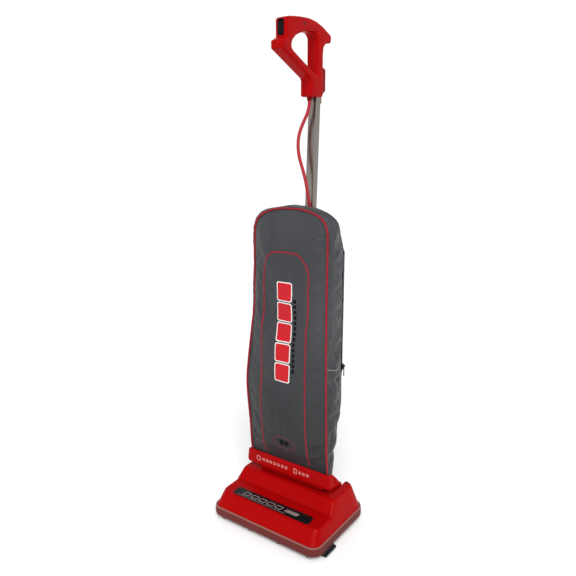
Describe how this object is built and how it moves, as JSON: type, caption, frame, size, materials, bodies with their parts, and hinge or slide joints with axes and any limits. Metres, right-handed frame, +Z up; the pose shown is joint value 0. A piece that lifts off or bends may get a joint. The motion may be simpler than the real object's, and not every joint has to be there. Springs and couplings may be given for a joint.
{
  "type": "upright vacuum cleaner",
  "caption": "Upright vacuum cleaner: low floor head with brush roll and bumper, tilting tube, hanging cloth dust bag and loop handle with rocker switch.",
  "frame": {"origin": "on the floor, at the middle of the machine's overall width and depth", "axes": "+Z up, -Y the front of the machine, X across it with +X on the viewer's right when facing its front"},
  "size_m": [0.336, 0.27, 1.205],
  "materials": {
    "red_shell": "glossy moulded plastic with a fine metallic cast",
    "label": "gloss",
    "steel": "bright zinc",
    "bumper": "satin vinyl",
    "black_plastic": "fine-grained",
    "grey_plastic": "fine-grained",
    "bristle": "matte",
    "aluminium": "die cast",
    "carbon": "matte",
    "belt": "matte",
    "copper": "varnished windings",
    "roll_wood": "sealed beech",
    "wheel_rubber": "matte",
    "tube_metal": "satin plated",
    "paper": "brown paper",
    "card": "board",
    "bag_cloth": "close coated weave",
    "piping": "woven cord edging",
    "zip": "coil zip on woven tape",
    "dark_metal": "black plated",
    "black_gloss": "gloss",
    "dark_red": "satin",
    "lead_pvc": "smooth PVC sheath"
  },
  "bodies": {
    "floor_head": {"hood": "red_shell", "label_plate": "label", "hood_screws": "steel", "bumper": "bumper", "chassis": "black_plastic", "base_plate": "grey_plastic", "side_brush_holders": "black_plastic", "side_brush_bristles": "bristle", "motor_casing": "steel", "motor_stator": "steel", "motor_end_caps": "aluminium", "motor_bearings": "steel", "carbon_brushes": "carbon", "motor_cover": "red_shell", "fan_housing": "grey_plastic", "intake_duct": "black_plastic", "drive_belt": "belt", "roll_bearing_blocks": "black_plastic", "trunnion_pin": "steel", "detent_spring": "steel", "wheel_axles": "steel"},
    "handle_assembly": {"yoke": "red_shell", "handle_tube": "tube_metal", "tube_screws": "steel", "bag_bar": "red_shell", "bar_screws": "steel", "fill_tube": "grey_plastic", "bag_dock": "grey_plastic", "inner_bag": "paper", "inner_bag_collar": "card", "outer_bag": "bag_cloth", "bag_piping": "piping", "bag_zip": "zip", "bag_hanger": "steel", "hanger_spring": "steel", "handle_left": "red_shell", "handle_right": "red_shell", "handle_screws": "steel", "switch_bezel": "black_gloss", "switch_body": "black_plastic", "cord_inlet": "dark_red", "lead_gland": "piping", "lead_grommet": "bristle", "lead": "lead_pvc"},
    "rotor": {"motor_shaft": "steel", "armature": "copper", "fan_impeller": "aluminium", "drive_pulley": "steel"},
    "brush_roll": {"brush_roll_core": "roll_wood", "brush_roll_bristles": "bristle"},
    "left_wheel": {"wheel_left": "grey_plastic", "tyre_left": "wheel_rubber"},
    "right_wheel": {"wheel_right": "grey_plastic", "tyre_right": "wheel_rubber"},
    "left_latch": {"base_latch_left": "grey_plastic"},
    "right_latch": {"base_latch_right": "grey_plastic"},
    "rocker": {"switch_rocker": "black_gloss"},
    "slider": {"zip_slider": "dark_metal"},
    "pull_tab": {"zip_pull": "dark_metal"},
    "cord_hook": {"lower_cord_hook": "black_plastic"}
  },
  "joints": [
    {"name": "handle_tilt", "type": "hinge", "parent": "floor_head", "child": "handle_assembly", "pos_m": [0, 0.039, 0.06], "axis": [-1, 0, 0], "range_deg": [0, 82]},
    {"name": "motor_spin", "type": "hinge", "parent": "floor_head", "child": "rotor", "pos_m": [0, 0.039, 0.06], "axis": [1, 0, 0], "continuous": true},
    {"name": "brush_spin", "type": "hinge", "parent": "floor_head", "child": "brush_roll", "pos_m": [0, -0.094, 0.026], "axis": [1, 0, 0], "continuous": true},
    {"name": "left_wheel_spin", "type": "hinge", "parent": "floor_head", "child": "left_wheel", "pos_m": [-0.135, 0.07, 0.02], "axis": [1, 0, 0], "continuous": true},
    {"name": "right_wheel_spin", "type": "hinge", "parent": "floor_head", "child": "right_wheel", "pos_m": [0.135, 0.07, 0.02], "axis": [1, 0, 0], "continuous": true},
    {"name": "left_latch_turn", "type": "hinge", "parent": "floor_head", "child": "left_latch", "pos_m": [-0.086, -0.028, 0.006], "axis": [0, 0, 1], "range_deg": [0, 90]},
    {"name": "right_latch_turn", "type": "hinge", "parent": "floor_head", "child": "right_latch", "pos_m": [0.086, -0.028, 0.006], "axis": [0, 0, 1], "range_deg": [0, 90]},
    {"name": "switch_rock", "type": "hinge", "parent": "handle_assembly", "child": "rocker", "pos_m": [0, -0.036, 1.174], "axis": [-1, 0, 0], "range_deg": [0, 14]},
    {"name": "zip_slide", "type": "slide", "parent": "handle_assembly", "child": "slider", "axis": [0, 0, 1], "range_m": [0, 0.265]},
    {"name": "pull_swing", "type": "hinge", "parent": "slider", "child": "pull_tab", "pos_m": [0.112, 0.057, 0.411], "axis": [0, -1, 0], "range_deg": [0, 150]},
    {"name": "cord_hook_turn", "type": "hinge", "parent": "handle_assembly", "child": "cord_hook", "pos_m": [0, 0.07258, 0.56], "axis": [0, 0.9988, -0.0497], "range_deg": [0, 180]}
  ],
  "couplings": [
    {"joint": "brush_spin", "follows": "motor_spin", "ratio": 0.5}
  ]
}
